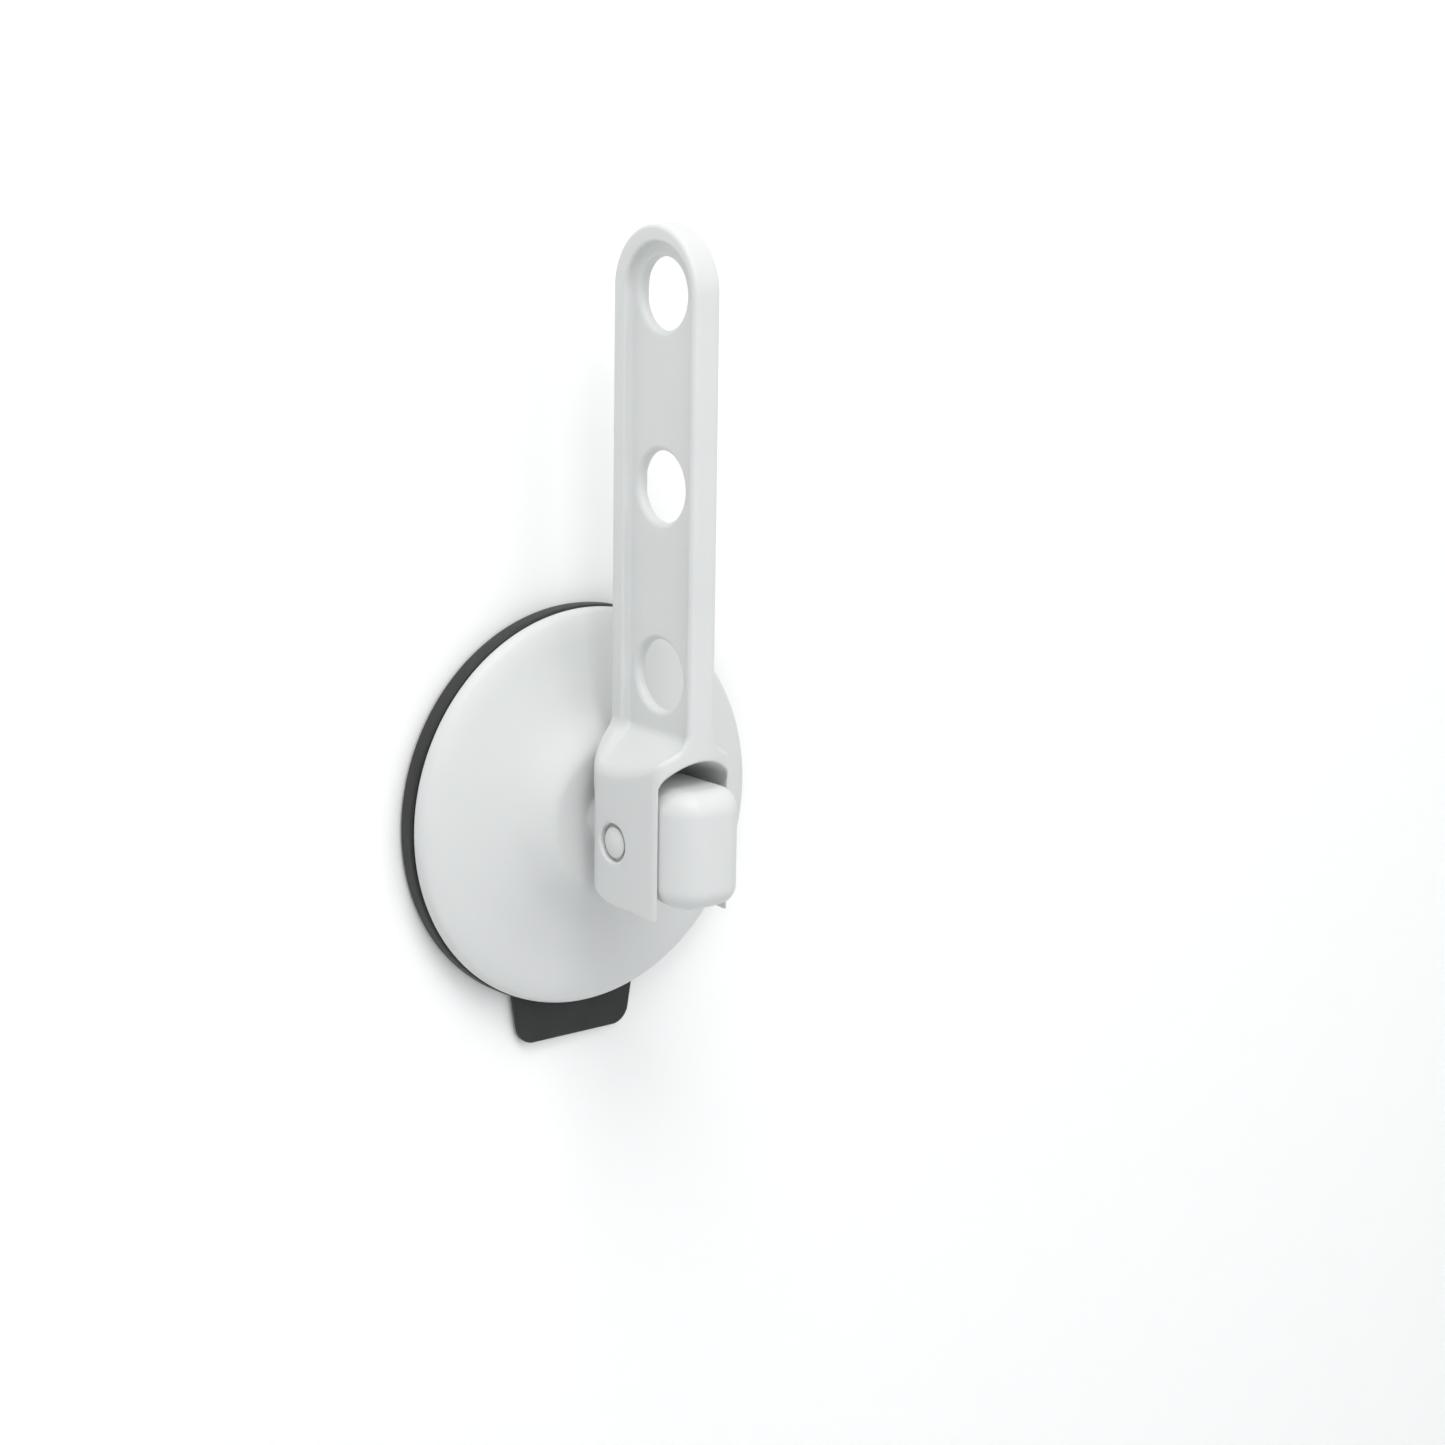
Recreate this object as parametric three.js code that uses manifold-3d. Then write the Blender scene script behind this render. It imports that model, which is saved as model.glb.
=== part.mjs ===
// A fold-out hanging arm on a suction disc. The arm is a flat blade with three hook holes that ends in a
// fork. The fork turns on a pin in the head of a draw stem. Folding the arm out rolls the fork's feet
// over the seat of the cover shell, which draws the stem and the middle of the rubber pad off the wall.
// A rounded release trigger sits between the fork's ears on the same pin.
//
// Frame: millimetres, +Z up. The origin is on the wall at the disc's centre, +Y points into the wall,
// so a point that stands "out" from the wall has y = -out.

import * as THREE from 'three';
import { mergeVertices } from 'three/addons/utils/BufferGeometryUtils.js';
import Module from 'manifold-3d';

const wasm = await Module();
wasm.setup();

// ---- driving dimensions ----
const GAP = 0.3;

const DISC_R = 55;
const DISC_SEGMENTS = 60;
const RIM_OUT = 5.6;
const SHELL_WALL = 2.4;
const SEAT_R = 18.5;
const SEAT_OUT = 20.4;
const COLLAR_R = 9;
const COLLAR_OUT = 23.5;
const RIM_EDGE_R = 2.8;
const ROOF_OUT = SEAT_OUT - SHELL_WALL;
const BUSH_R = 6;
const BUSH_INNER_OUT = 12.5;
const RIBS = 8;
const RIB_HALF = 0.7;

const PAD_R = 55.4;
const PAD_RIM_OUT = 4.9;
const PAD_BOSS_R = 16.5;
const PAD_BOSS_OUT = 7;
const PAD_WEB = 2.4;
const TAB_BOTTOM = -66.2;
const TAB_ROOT_HALF = 21.2;
const TAB_END_HALF = 17.3;
const TAB_CORNER = 5;

const PIN_OUT = 35.4;
const PIN_Z = -2.3;
const PIN_R = 3;
const PIN_HALF = 10.9;

const STEM_R = 4;
const STEM_TAIL_R = 2.8;
const STEM_HEAD_R = 11;
const STEM_HEAD_OUT = 2.9;
const STEM_HEAD_THICK = 1.4;
const STEM_SHOULDER_OUT = 23.7;
const STEM_TAIL_OUT = 29;
const NECK_OUT = 24;

const BLADE_HALF = 4.1;
const BLADE_BACK = 23.3;
const BLADE_FRONT = 57.6;
const BLADE_TOP = 159.3;
const WEB_HALF = 1.7;
const HOLE_R = 9.9;
const HOLE_OUT = 41;
const HOLE_Z = [42.6, 92.1, 141.6];

const FORK_HALF = 12.3;
const FORK_SIDE_BACK = 29.3;
const FORK_SIDE_FRONT = 54;
const FORK_BOTTOM = -19.4;
const EAR_INNER = 11.4;
const EAR_BOSS_R = 7;
const EAR_BOSS_INNER = 9.9;
const CAP_RECESS_R = 5.15;
const CAP_RECESS_FLOOR = 10.9;
const CAP_R = 4.1;

const TRIGGER_HALF = 11.1;
const TRIGGER_TOP = 15.2;
const TRIGGER_BOTTOM = -16.3;
const TRIGGER_HEEL = -15.5;
const TRIGGER_BACK = 27.4;
const TRIGGER_FRONT = 64.2;
const TRIGGER_WALL = 2.4;
const TRIGGER_EDGE = 7.5;
const TRIGGER_CORNER = 5.5;
const CROSSHEAD_HALF = 4.5;
const CROSSHEAD_R = 7;
const SPACER_OUTER = 8.4;

const SPRING_R = 9.6;
const SPRING_WIRE = 0.7;
const SPRING_SEAT_OUT = 8.3;
const TORSION_R = 7.9;
const TORSION_WIRE = 0.3;
const ROLL_PIN_OUT = 26.6;
const ROLL_PIN_R = 1;
const CAP_STUB_R = 1;
const CAP_STUB_DEPTH = 3.5;

// ---- materials ----
const whitePlastic = { color: 0xe2e5e5, roughness: 0.42, metalness: 0 };
const greyPlastic = { color: 0xc9cdcd, roughness: 0.35, metalness: 0 };
const blackRubber = { color: 0x46484a, roughness: 0.7, metalness: 0 };
const steel = { color: 0xb4b7ba, roughness: 0.3, metalness: 1 };
const zinc = { color: 0x9da1a4, roughness: 0.45, metalness: 0.9 };
const acetal = { color: 0xf0efe9, roughness: 0.4, metalness: 0 };

// ---- solids from geometry ----
function withoutSlivers(index) {
  const kept = [];
  for (let i = 0; i < index.length; i += 3) {
    const [a, b, c] = [index[i], index[i + 1], index[i + 2]];
    if (a !== b && b !== c && c !== a) {
      kept.push(a, b, c);
    }
  }
  return new Uint32Array(kept);
}

function solid(geometry) {
  const bare = geometry.clone();
  bare.deleteAttribute('normal');
  bare.deleteAttribute('uv');
  const merged = mergeVertices(bare, 1e-4);
  const vertProperties = new Float32Array(merged.attributes.position.array);
  const triVerts = withoutSlivers(merged.index.array);
  return new wasm.Manifold(new wasm.Mesh({ numProp: 3, vertProperties, triVerts }));
}

function geometryOf(body) {
  const mesh = body.getMesh();
  const geometry = new THREE.BufferGeometry();
  geometry.setAttribute('position', new THREE.BufferAttribute(mesh.vertProperties, 3));
  geometry.setIndex(new THREE.BufferAttribute(mesh.triVerts, 1));
  return geometry;
}

const join = (first, ...others) => others.reduce((sum, body) => sum.add(body), first);
const cut = (first, ...others) => others.reduce((rest, body) => rest.subtract(body), first);
const common = (first, ...others) => others.reduce((shared, body) => shared.intersect(body), first);

// Local x, y, z of a drawn outline become the three given directions of the frame.
function turned(geometry, x, y, z) {
  const basis = new THREE.Matrix4().makeBasis(x, y, z);
  return geometry.applyMatrix4(basis);
}

const ACROSS = new THREE.Vector3(1, 0, 0);
const OUTWARD = new THREE.Vector3(0, -1, 0);
const UPWARD = new THREE.Vector3(0, 0, 1);

// An outline drawn as (out, z), pushed along X from -half to +half.
function sidePlate(shape, half, bevel = 0, segments = 1, steps = 16) {
  const geometry = new THREE.ExtrudeGeometry(shape, {
    depth: 2 * (half - bevel),
    curveSegments: steps,
    bevelEnabled: bevel > 0,
    bevelThickness: bevel,
    bevelSize: bevel,
    bevelOffset: -bevel,
    bevelSegments: segments,
  });
  geometry.translate(0, 0, -(half - bevel));
  return turned(geometry, OUTWARD, UPWARD, ACROSS.clone().negate());
}

// An outline drawn as (x, z), pushed outward from one distance off the wall to another.
function facePlate(shape, from, to, steps = 12) {
  const geometry = new THREE.ExtrudeGeometry(shape, {
    depth: to - from,
    curveSegments: steps,
    bevelEnabled: false,
  });
  geometry.translate(0, 0, from);
  return turned(geometry, ACROSS, UPWARD, OUTWARD);
}

// An outline drawn as (x, out), pushed upward from one height to another.
function planPlate(shape, bottom, top, steps = 12) {
  const geometry = new THREE.ExtrudeGeometry(shape, {
    depth: top - bottom,
    curveSegments: steps,
    bevelEnabled: false,
  });
  geometry.translate(0, 0, -top);
  return turned(geometry, ACROSS, OUTWARD, UPWARD.clone().negate());
}

function outline(points) {
  return new THREE.Shape(points.map(([a, b]) => new THREE.Vector2(a, b)));
}

function roundedRect(left, bottom, right, top, radius) {
  const shape = new THREE.Shape();
  shape.moveTo(left + radius, bottom);
  shape.lineTo(right - radius, bottom);
  shape.absarc(right - radius, bottom + radius, radius, -Math.PI / 2, 0);
  shape.lineTo(right, top - radius);
  shape.absarc(right - radius, top - radius, radius, 0, Math.PI / 2);
  shape.lineTo(left + radius, top);
  shape.absarc(left + radius, top - radius, radius, Math.PI / 2, Math.PI);
  shape.lineTo(left, bottom + radius);
  shape.absarc(left + radius, bottom + radius, radius, Math.PI, 1.5 * Math.PI);
  return shape;
}

function box(x0, x1, out0, out1, z0, z1) {
  const geometry = new THREE.BoxGeometry(x1 - x0, out1 - out0, z1 - z0);
  geometry.translate((x0 + x1) / 2, -(out0 + out1) / 2, (z0 + z1) / 2);
  return geometry;
}

// A profile of [radius, out] points, from the far side of the axis round to the wall side, turned about Y.
function turnedAboutDisc(profile, segments) {
  return new THREE.LatheGeometry(profile.map(([r, out]) => new THREE.Vector2(r, -out)), segments);
}

// A cylinder on the pin's axis between two x values, or elsewhere when out and z are given.
function crossCylinder(radius, x0, x1, segments = 32, out = PIN_OUT, z = PIN_Z) {
  const geometry = new THREE.CylinderGeometry(radius, radius, x1 - x0, segments);
  geometry.rotateZ(-Math.PI / 2);
  geometry.translate((x0 + x1) / 2, -out, z);
  return geometry;
}

function crossRing(inner, outer, x0, x1, segments = 32) {
  return cut(
    solid(crossCylinder(outer, x0, x1, segments)),
    solid(crossCylinder(inner, x0 - 1, x1 + 1, segments)),
  );
}

// A closed skin over rings with the same number of points, each ring running the same way round.
function loft(rings) {
  const count = rings[0].length;
  const positions = rings.flat().flatMap((p) => [p.x, p.y, p.z]);
  const index = [];
  for (let r = 0; r + 1 < rings.length; r += 1) {
    for (let i = 0; i < count; i += 1) {
      const [a, b] = [r * count + i, r * count + ((i + 1) % count)];
      index.push(a, b, a + count, b, b + count, a + count);
    }
  }
  const last = (rings.length - 1) * count;
  for (let i = 1; i + 1 < count; i += 1) {
    index.push(0, i + 1, i);
    index.push(last, last + i, last + i + 1);
  }
  const geometry = new THREE.BufferGeometry();
  geometry.setAttribute('position', new THREE.Float32BufferAttribute(positions, 3));
  geometry.setIndex(index);
  return geometry;
}

class Helix extends THREE.Curve {
  constructor(place, radius, turns, start, length, phase = 0) {
    super();
    Object.assign(this, { place, radius, turns, start, length, phase });
  }

  getPoint(t, target = new THREE.Vector3()) {
    const angle = this.phase + 2 * Math.PI * this.turns * t;
    const along = this.start + this.length * t;
    return target.copy(this.place(this.radius * Math.cos(angle), this.radius * Math.sin(angle), along));
  }
}

function wire(curve, radius, steps) {
  const section = new THREE.Shape().absarc(0, 0, radius, 0, 2 * Math.PI);
  return new THREE.ExtrudeGeometry(section, { extrudePath: curve, steps, curveSegments: 3 });
}

const mix = (a, b, t) => a + (b - a) * t;
const ramp = (from, to, v) => THREE.MathUtils.smoothstep(v, from, to);

// ---- rubber pad with its pull tab ----
function suctionPad() {
  const headTop = STEM_HEAD_OUT + STEM_HEAD_THICK + GAP;
  const profile = [
    [0, STEM_HEAD_OUT - GAP],
    [STEM_HEAD_R + GAP, STEM_HEAD_OUT - GAP],
    [STEM_HEAD_R + GAP, headTop],
    [STEM_R + GAP, headTop],
    [STEM_R + GAP, PAD_BOSS_OUT],
    [PAD_BOSS_R - 1.5, PAD_BOSS_OUT],
    [PAD_BOSS_R, PAD_BOSS_OUT - 1.5],
    [PAD_BOSS_R + 2, PAD_WEB],
    [DISC_R - 6, PAD_WEB],
    [DISC_R - 4.5, PAD_RIM_OUT],
    [PAD_R - 1, PAD_RIM_OUT],
    [PAD_R, PAD_RIM_OUT - 1],
    [PAD_R, 0.6],
    [PAD_R - 0.6, 0],
    [0, 0],
  ];
  const tab = new THREE.Shape();
  tab.moveTo(-TAB_ROOT_HALF, -DISC_R + 7);
  tab.lineTo(-TAB_END_HALF - 0.9, TAB_BOTTOM + TAB_CORNER);
  tab.quadraticCurveTo(-TAB_END_HALF, TAB_BOTTOM, -TAB_END_HALF + TAB_CORNER, TAB_BOTTOM);
  tab.lineTo(TAB_END_HALF - TAB_CORNER, TAB_BOTTOM);
  tab.quadraticCurveTo(TAB_END_HALF, TAB_BOTTOM, TAB_END_HALF + 0.9, TAB_BOTTOM + TAB_CORNER);
  tab.lineTo(TAB_ROOT_HALF, -DISC_R + 7);
  return join(
    solid(turnedAboutDisc(profile, DISC_SEGMENTS)),
    solid(facePlate(tab, 0.4, 2.2, 6)),
  );
}

// ---- cover shell: a low bell with a flat seat, a collar for the stem and ribs underneath ----
function bell() {
  const path = new THREE.Path();
  path.moveTo(DISC_R, RIM_OUT);
  path.absarc(DISC_R - RIM_EDGE_R, RIM_OUT + 0.8, RIM_EDGE_R, 0, 0.36 * Math.PI);
  path.splineThru([
    [45, 11],
    [36, 12.9],
    [28.5, 15.4],
    [23.5, 18.4],
    [SEAT_R, SEAT_OUT],
  ].map(([r, out]) => new THREE.Vector2(r, out)));
  return path.getPoints(2).map((p) => [p.x, p.y]);
}

// The same curve moved towards the inside of the bell, each point square to the curve.
function movedIn(points, distance) {
  return points.map(([r, out], i) => {
    const [r0, out0] = points[Math.max(i - 1, 0)];
    const [r1, out1] = points[Math.min(i + 1, points.length - 1)];
    const length = Math.hypot(r1 - r0, out1 - out0);
    return [r - distance * (out1 - out0) / length, out + distance * (r1 - r0) / length];
  });
}

function coverShell() {
  const tubeR = BUSH_R + 2.2;
  const boreR = BUSH_R + GAP;
  const tubeOut = BUSH_INNER_OUT + GAP;
  const outer = bell();
  const inner = movedIn(outer, SHELL_WALL).filter(([r, out]) => out > RIM_OUT + 2 && out < ROOF_OUT - 0.3);
  const middle = movedIn(outer, SHELL_WALL / 2).filter(([r]) => r > SEAT_R && r < 50);
  const profile = [
    [boreR, COLLAR_OUT],
    [COLLAR_R - 0.6, COLLAR_OUT],
    [COLLAR_R, COLLAR_OUT - 0.6],
    [COLLAR_R, SEAT_OUT],
    ...outer.toReversed(),
    [DISC_R - SHELL_WALL, RIM_OUT],
    ...inner,
    [SEAT_R - 1, ROOF_OUT],
    [tubeR, ROOF_OUT],
    [tubeR, tubeOut],
    [boreR, tubeOut],
    [boreR, COLLAR_OUT],
  ];
  const rib = outline([[11.5, ROOF_OUT + 1], [11.5, 12], [20, 8.6], [50, 6.6], ...middle]);
  const ribs = [];
  for (let i = 0; i < RIBS; i += 1) {
    const angle = (i + 0.5) * 2 * Math.PI / RIBS;
    const radial = new THREE.Vector3(Math.cos(angle), 0, Math.sin(angle));
    const plate = new THREE.ExtrudeGeometry(rib, { depth: 2 * RIB_HALF, bevelEnabled: false });
    plate.translate(0, 0, -RIB_HALF);
    ribs.push(solid(turned(plate, radial, OUTWARD, radial.clone().cross(OUTWARD))));
  }
  return join(solid(turnedAboutDisc(profile, DISC_SEGMENTS)), ...ribs);
}

function guideBush() {
  return solid(turnedAboutDisc([
    [STEM_R + GAP, COLLAR_OUT],
    [BUSH_R, COLLAR_OUT],
    [BUSH_R, BUSH_INNER_OUT],
    [BUSH_R + 2, BUSH_INNER_OUT],
    [BUSH_R + 2, BUSH_INNER_OUT - 1.2],
    [STEM_R + GAP, BUSH_INNER_OUT - 1.2],
    [STEM_R + GAP, COLLAR_OUT],
  ], 36));
}

function returnSpring() {
  const start = SPRING_SEAT_OUT + GAP + SPRING_WIRE;
  const length = ROOF_OUT - GAP - SPRING_WIRE - start;
  const place = (a, b, along) => new THREE.Vector3(a, -along, b);
  const helix = new Helix(place, SPRING_R, 3.5, start, length);
  return solid(wire(helix, SPRING_WIRE, 48));
}

// ---- draw stem and the pieces on it ----
function stemBolt() {
  const headTop = STEM_HEAD_OUT + STEM_HEAD_THICK;
  const body = solid(turnedAboutDisc([
    [0, STEM_TAIL_OUT],
    [STEM_TAIL_R, STEM_TAIL_OUT],
    [STEM_TAIL_R, STEM_SHOULDER_OUT],
    [STEM_R, STEM_SHOULDER_OUT],
    [STEM_R, headTop],
    [STEM_HEAD_R, headTop],
    [STEM_HEAD_R, STEM_HEAD_OUT],
    [0, STEM_HEAD_OUT],
  ], 36));
  return cut(body, rollPinBore());
}

function rollPinBore() {
  return solid(crossCylinder(ROLL_PIN_R + GAP, -STEM_R - 2, STEM_R + 2, 16, ROLL_PIN_OUT, 0));
}

function springSeat() {
  return solid(turnedAboutDisc([
    [STEM_R + GAP, SPRING_SEAT_OUT],
    [11.5, SPRING_SEAT_OUT],
    [11.5, PAD_BOSS_OUT + GAP],
    [STEM_R + GAP, PAD_BOSS_OUT + GAP],
    [STEM_R + GAP, SPRING_SEAT_OUT],
  ], 36));
}

// The stem runs on the disc's axis, and the pin sits a little below it.
function crosshead() {
  const neck = solid(box(-CROSSHEAD_HALF, CROSSHEAD_HALF, NECK_OUT, PIN_OUT, -4.5, 4.5));
  const eye = solid(crossCylinder(CROSSHEAD_R, -CROSSHEAD_HALF, CROSSHEAD_HALF));
  const socket = solid(turnedAboutDisc([
    [0, STEM_TAIL_OUT + GAP],
    [STEM_TAIL_R + GAP, STEM_TAIL_OUT + GAP],
    [STEM_TAIL_R + GAP, NECK_OUT - 1],
    [0, NECK_OUT - 1],
  ], 36));
  const pinBore = solid(crossCylinder(PIN_R + GAP, -CROSSHEAD_HALF - 1, CROSSHEAD_HALF + 1));
  return cut(join(neck, eye), socket, pinBore, rollPinBore());
}

function rollPin() {
  return solid(crossCylinder(ROLL_PIN_R, -CROSSHEAD_HALF, CROSSHEAD_HALF, 16, ROLL_PIN_OUT, 0));
}

function pivotPin() {
  const boreR = CAP_STUB_R + GAP;
  const inner = PIN_HALF - CAP_STUB_DEPTH;
  return cut(
    solid(crossCylinder(PIN_R, -PIN_HALF, PIN_HALF)),
    solid(crossCylinder(boreR, inner, PIN_HALF + 1, 16)),
    solid(crossCylinder(boreR, -PIN_HALF - 1, -inner, 16)),
  );
}

// side is -1 on the left and 1 on the right
function pinCap(side) {
  const base = PIN_HALF + GAP;
  const profile = [
    [0, PIN_HALF - CAP_STUB_DEPTH + GAP],
    [CAP_STUB_R, PIN_HALF - CAP_STUB_DEPTH + GAP],
    [CAP_STUB_R, base],
    [CAP_R, base],
    [CAP_R, base + 0.4],
    [CAP_R - 0.5, base + 0.7],
    [CAP_R / 2, base + 0.9],
    [0, base + 0.95],
  ];
  const geometry = new THREE.LatheGeometry(profile.map(([r, along]) => new THREE.Vector2(r, along)), 32);
  geometry.rotateZ(-side * Math.PI / 2);
  geometry.translate(0, -PIN_OUT, PIN_Z);
  return solid(geometry);
}

function spacer(side) {
  const [near, far] = [CROSSHEAD_HALF + GAP, SPACER_OUTER];
  return crossRing(PIN_R + GAP, 6, Math.min(side * near, side * far), Math.max(side * near, side * far));
}

// ---- arm: blade and fork in one moulding ----
function bladeOutline(back, front, top, bottom) {
  const radius = (front - back) / 2;
  const shape = new THREE.Shape();
  shape.moveTo(back, bottom);
  shape.lineTo(front, bottom);
  shape.lineTo(front, top - radius);
  shape.absarc(back + radius, top - radius, radius, 0, Math.PI);
  return shape;
}

function blade() {
  const pocketOutline = bladeOutline(28.4, 55.3, BLADE_TOP - 4.4, 18);
  const pocketDepth = 4.4;
  const pocketFillet = 1.2;
  const pockets = [-1, 1].map((side) => {
    const plate = sidePlate(pocketOutline, pocketDepth / 2, pocketFillet, 3);
    return solid(plate.translate(side * (WEB_HALF + pocketDepth / 2), 0, 0));
  });
  const holes = HOLE_Z.map((z) => solid(crossCylinder(HOLE_R, -BLADE_HALF, BLADE_HALF, 40, HOLE_OUT, z)));
  const outer = bladeOutline(BLADE_BACK, BLADE_FRONT, BLADE_TOP, 20);
  return cut(solid(sidePlate(outer, BLADE_HALF, 0.9, 2)), ...pockets, ...holes);
}

// Height of the fork's top surface. Its outer edge is a saddle, lowest at mid depth, and from there it
// climbs evenly to the web in the middle and to the blade's rims at the back and front.
function ledgeHeight(x, out) {
  const edge = 16.7 + 0.0277 * Math.abs(out - 32) ** 1.7;
  const backRim = 1 - ramp(27, 30, out);
  const frontRim = ramp(53.5, 56, out);
  const innerX = mix(WEB_HALF, BLADE_HALF, backRim + frontRim);
  const innerZ = 27 + 0.8 * backRim - 0.8 * frontRim;
  const slope = (innerZ - edge) / (FORK_HALF - innerX);
  return edge + slope * (FORK_HALF - Math.max(Math.abs(x), innerX));
}

function forkTop() {
  const half = FORK_HALF + 0.5;
  const bottom = FORK_BOTTOM - 3;
  const across = 18;
  const along = 20;
  const ring = (out, heightAt) => {
    const points = [new THREE.Vector3(-half, -out, bottom), new THREE.Vector3(half, -out, bottom)];
    for (let i = 0; i <= across; i += 1) {
      const x = half * (1 - 2 * i / across);
      points.push(new THREE.Vector3(x, -out, heightAt(x, out)));
    }
    return points;
  };
  const flat = () => 20;
  const rings = [ring(BLADE_BACK - 1.5, flat)];
  for (let i = 0; i <= along; i += 1) {
    rings.push(ring(mix(BLADE_BACK - 0.5, BLADE_FRONT + 0.5, i / along), ledgeHeight));
  }
  rings.push(ring(BLADE_FRONT + 1.5, flat));
  return solid(loft(rings));
}

// The fork from above: a bowed front, and a narrower back with rounded corners.
function forkPlan() {
  const frontRise = BLADE_FRONT - FORK_SIDE_FRONT;
  const bowR = (FORK_HALF ** 2 + frontRise ** 2) / (2 * frontRise);
  const bowAngle = Math.asin(FORK_HALF / bowR);
  const cornerR = FORK_SIDE_BACK - BLADE_BACK;
  const shape = new THREE.Shape();
  shape.moveTo(-FORK_HALF + cornerR, BLADE_BACK);
  shape.lineTo(FORK_HALF - cornerR, BLADE_BACK);
  shape.absarc(FORK_HALF - cornerR, FORK_SIDE_BACK, cornerR, -Math.PI / 2, 0);
  shape.absarc(0, BLADE_FRONT - bowR, bowR, Math.PI / 2 - bowAngle, Math.PI / 2 + bowAngle);
  shape.lineTo(-FORK_HALF, FORK_SIDE_BACK);
  shape.absarc(-FORK_HALF + cornerR, FORK_SIDE_BACK, cornerR, Math.PI, 1.5 * Math.PI);
  return shape;
}

// The fork from the side: a round heel behind the pin that rolls on the shell's seat, and a flat foot.
function forkSide() {
  const heelR = 16.2;
  const heelOut = 36.6;
  const shape = new THREE.Shape();
  shape.moveTo(BLADE_FRONT + 2, FORK_BOTTOM);
  shape.lineTo(BLADE_FRONT + 2, 40);
  shape.lineTo(heelOut - heelR, 40);
  shape.absarc(heelOut, FORK_BOTTOM + heelR, heelR, Math.PI, 1.5 * Math.PI);
  return shape;
}

// The space between the ears. Its front is an arch, and its ceiling falls towards the back.
function forkCavity() {
  const archTop = 22.3;
  const crownR = 17;
  const cornerR = 3.6;
  const fall = 0.21;
  const cornerX = EAR_INNER - cornerR;
  const crownAngle = Math.asin(cornerX / (crownR - cornerR));
  const cornerZ = archTop - crownR + (crownR - cornerR) * Math.cos(crownAngle);
  const arch = new THREE.Shape();
  arch.moveTo(-EAR_INNER, -30);
  arch.lineTo(EAR_INNER, -30);
  arch.lineTo(EAR_INNER, cornerZ);
  arch.absarc(cornerX, cornerZ, cornerR, 0, Math.PI / 2 - crownAngle);
  arch.absarc(0, archTop - crownR, crownR, Math.PI / 2 - crownAngle, Math.PI / 2 + crownAngle);
  arch.absarc(-cornerX, cornerZ, cornerR, Math.PI / 2 + crownAngle, Math.PI);
  const tunnel = facePlate(arch, BLADE_BACK - 20, BLADE_FRONT + 20, 8);
  tunnel.translate(0, BLADE_FRONT, -archTop);
  tunnel.rotateX(-fall);
  tunnel.translate(0, -BLADE_FRONT, archTop);
  return solid(tunnel);
}

function arm() {
  const fork = cut(
    common(
      forkTop(),
      solid(planPlate(forkPlan(), FORK_BOTTOM - 1, 40, 10)),
      solid(sidePlate(forkSide(), FORK_HALF + 2, 0, 1, 12)),
    ),
    forkCavity(),
  );
  const bosses = [-1, 1].map((side) => {
    const ends = [side * EAR_BOSS_INNER, side * (EAR_INNER + 0.5)];
    return solid(crossCylinder(EAR_BOSS_R, Math.min(...ends), Math.max(...ends), 36));
  });
  const recesses = [-1, 1].map((side) => {
    const ends = [side * CAP_RECESS_FLOOR, side * (FORK_HALF + 1)];
    return solid(crossCylinder(CAP_RECESS_R, Math.min(...ends), Math.max(...ends), 36));
  });
  const bore = solid(crossCylinder(PIN_R + GAP, -FORK_HALF, FORK_HALF));
  return cut(join(blade(), fork, ...bosses), ...recesses, bore);
}

// ---- release trigger: a hollow rounded block, open at the back and slotted underneath ----
function roundedBlock(inset) {
  const half = TRIGGER_HALF - inset;
  const edge = TRIGGER_EDGE - inset;
  const front = TRIGGER_FRONT - inset;
  const back = TRIGGER_BACK - inset;
  const steps = 5;
  const ring = (out, shrink, corner) => {
    const shape = roundedRect(
      -half + shrink,
      TRIGGER_BOTTOM + inset + shrink,
      half - shrink,
      TRIGGER_TOP - inset - shrink,
      corner,
    );
    return shape.getPoints(5).slice(0, -1).map((p) => new THREE.Vector3(p.x, -out, p.y));
  };
  const corner = TRIGGER_CORNER - inset / 2;
  const rings = [ring(back, 0, corner)];
  for (let i = 0; i <= steps; i += 1) {
    const angle = 0.48 * Math.PI * i / steps;
    const shrink = edge * (1 - Math.cos(angle));
    const room = half - shrink;
    rings.push(ring(front - edge + edge * Math.sin(angle), shrink, Math.min(corner, room * 0.9)));
  }
  return solid(loft(rings));
}

// What the trigger's roof leaves out: it falls towards the back, as the space between the ears does.
function overRoof(drop) {
  const [fallFrom, fallTo, fall] = [46, 24, 4.4];
  const wedge = outline([
    [fallFrom, TRIGGER_TOP + 2],
    [fallFrom, TRIGGER_TOP],
    [fallTo, TRIGGER_TOP - fall],
    [fallTo, TRIGGER_TOP + 2],
  ]);
  return solid(sidePlate(wedge, TRIGGER_HALF + 1).translate(0, 0, -drop));
}

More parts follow.
